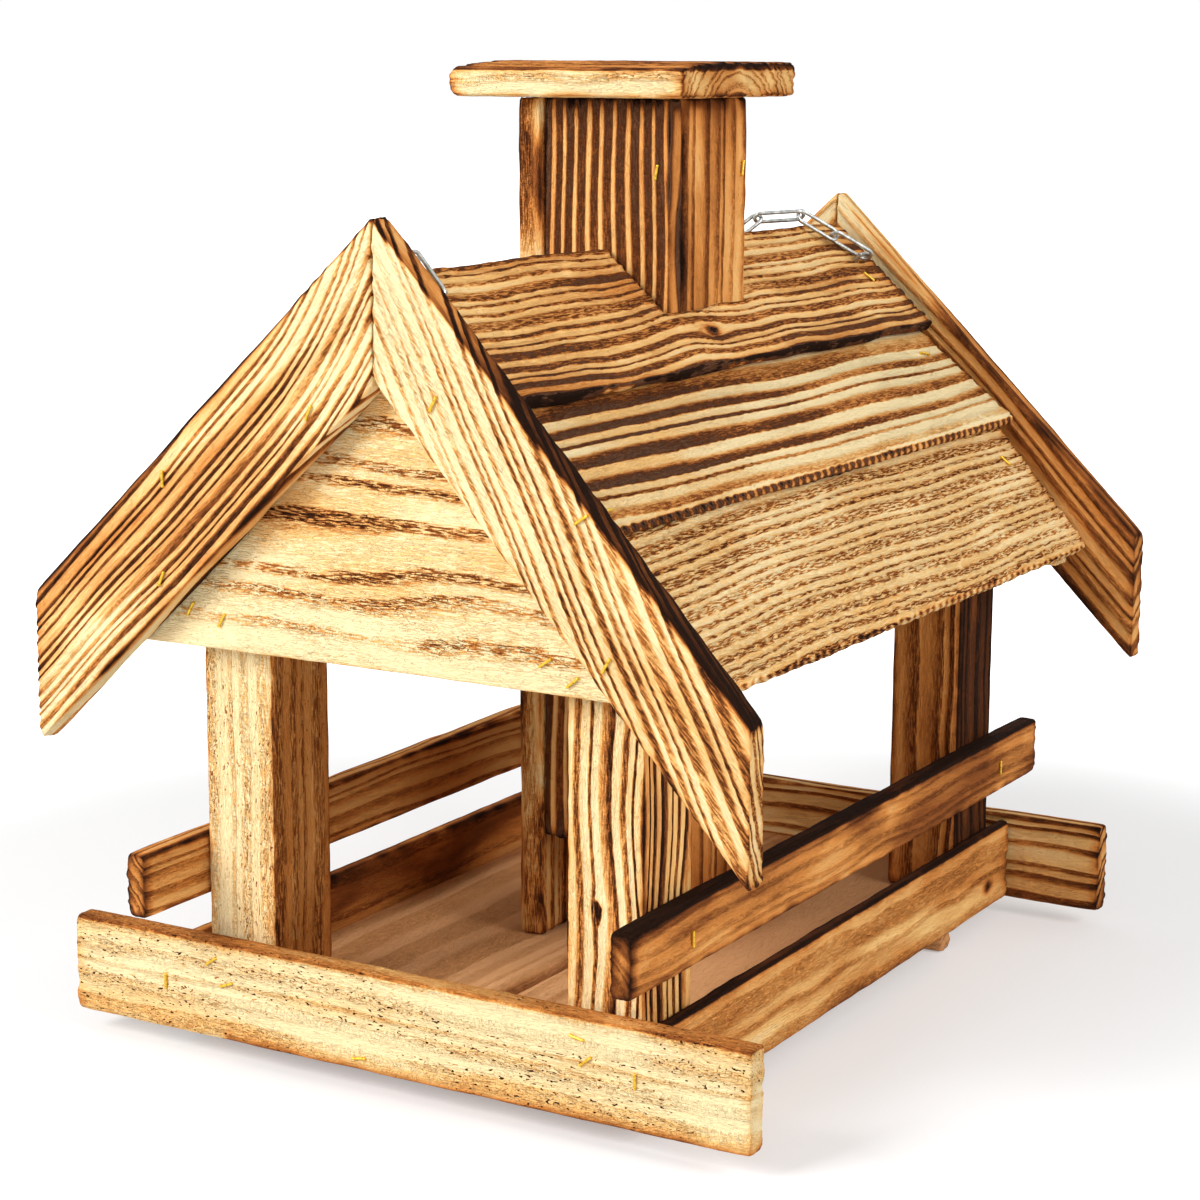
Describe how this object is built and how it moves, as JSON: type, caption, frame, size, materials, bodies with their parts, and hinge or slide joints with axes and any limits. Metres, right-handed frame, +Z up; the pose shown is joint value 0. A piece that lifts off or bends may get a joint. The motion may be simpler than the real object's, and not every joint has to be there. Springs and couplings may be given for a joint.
{
  "type": "bird feeder",
  "caption": "House-shaped wooden bird feeder: seed tray, posts, lapped plank roof, through-roof seed hopper with lift-off lid, and a chain to hang it by.",
  "frame": {"origin": "middle of the part's outer box, on the ground under its two bearers", "axes": "+Z up; +Y from the front rail towards the back rail, along the ridge; +X to the right seen from the front"},
  "size_m": [0.338, 0.4294, 0.4165],
  "materials": {
    "pale_pine": "lightly scorched, brushed",
    "warm_pine": "scorched, brushed",
    "charred_pine": "deeply scorched, brushed",
    "planed_pine": "planed, unfinished",
    "zinc_wire": "zinc plated",
    "brass_wire": "bright"
  },
  "bodies": {
    "house": {"front_rail": "pale_pine", "back_rail": "warm_pine", "left_side_rail": "warm_pine", "right_side_rail": "warm_pine", "left_floor_board": "planed_pine", "right_floor_board": "planed_pine", "front_bearer": "planed_pine", "back_bearer": "planed_pine", "front_left_post": "pale_pine", "front_right_post": "warm_pine", "back_left_post": "charred_pine", "back_right_post": "charred_pine", "left_railing": "charred_pine", "right_railing": "charred_pine", "front_gable": "pale_pine", "back_gable": "pale_pine", "front_left_bargeboard": "warm_pine", "front_right_bargeboard": "pale_pine", "back_left_bargeboard": "warm_pine", "back_right_bargeboard": "warm_pine", "upper_left_plank": "warm_pine", "upper_right_plank": "warm_pine", "middle_left_plank": "warm_pine", "middle_right_plank": "warm_pine", "lower_left_plank": "warm_pine", "lower_right_plank": "warm_pine", "hopper_front_board": "charred_pine", "hopper_back_board": "charred_pine", "hopper_left_board": "warm_pine", "hopper_right_board": "charred_pine", "chain_staples": "zinc_wire", "tray_staples": "brass_wire", "railing_staples": "brass_wire", "gable_staples": "brass_wire", "bargeboard_staples": "brass_wire", "roof_staples": "brass_wire", "hopper_staples": "brass_wire"},
    "lid": {"lid": "pale_pine", "lid_block": "planed_pine"},
    "chain": {"hanging_chain": "zinc_wire"}
  },
  "joints": [
    {"name": "lid_lift", "type": "slide", "parent": "house", "child": "lid", "axis": [0, 0, 1], "range_m": [0, 0.024]},
    {"name": "chain_swing", "type": "hinge", "parent": "house", "child": "chain", "pos_m": [0.02945, 0.18411, 0.32313], "axis": [0.0201, 0.9996, -0.0178], "range_deg": [0, 120]}
  ]
}
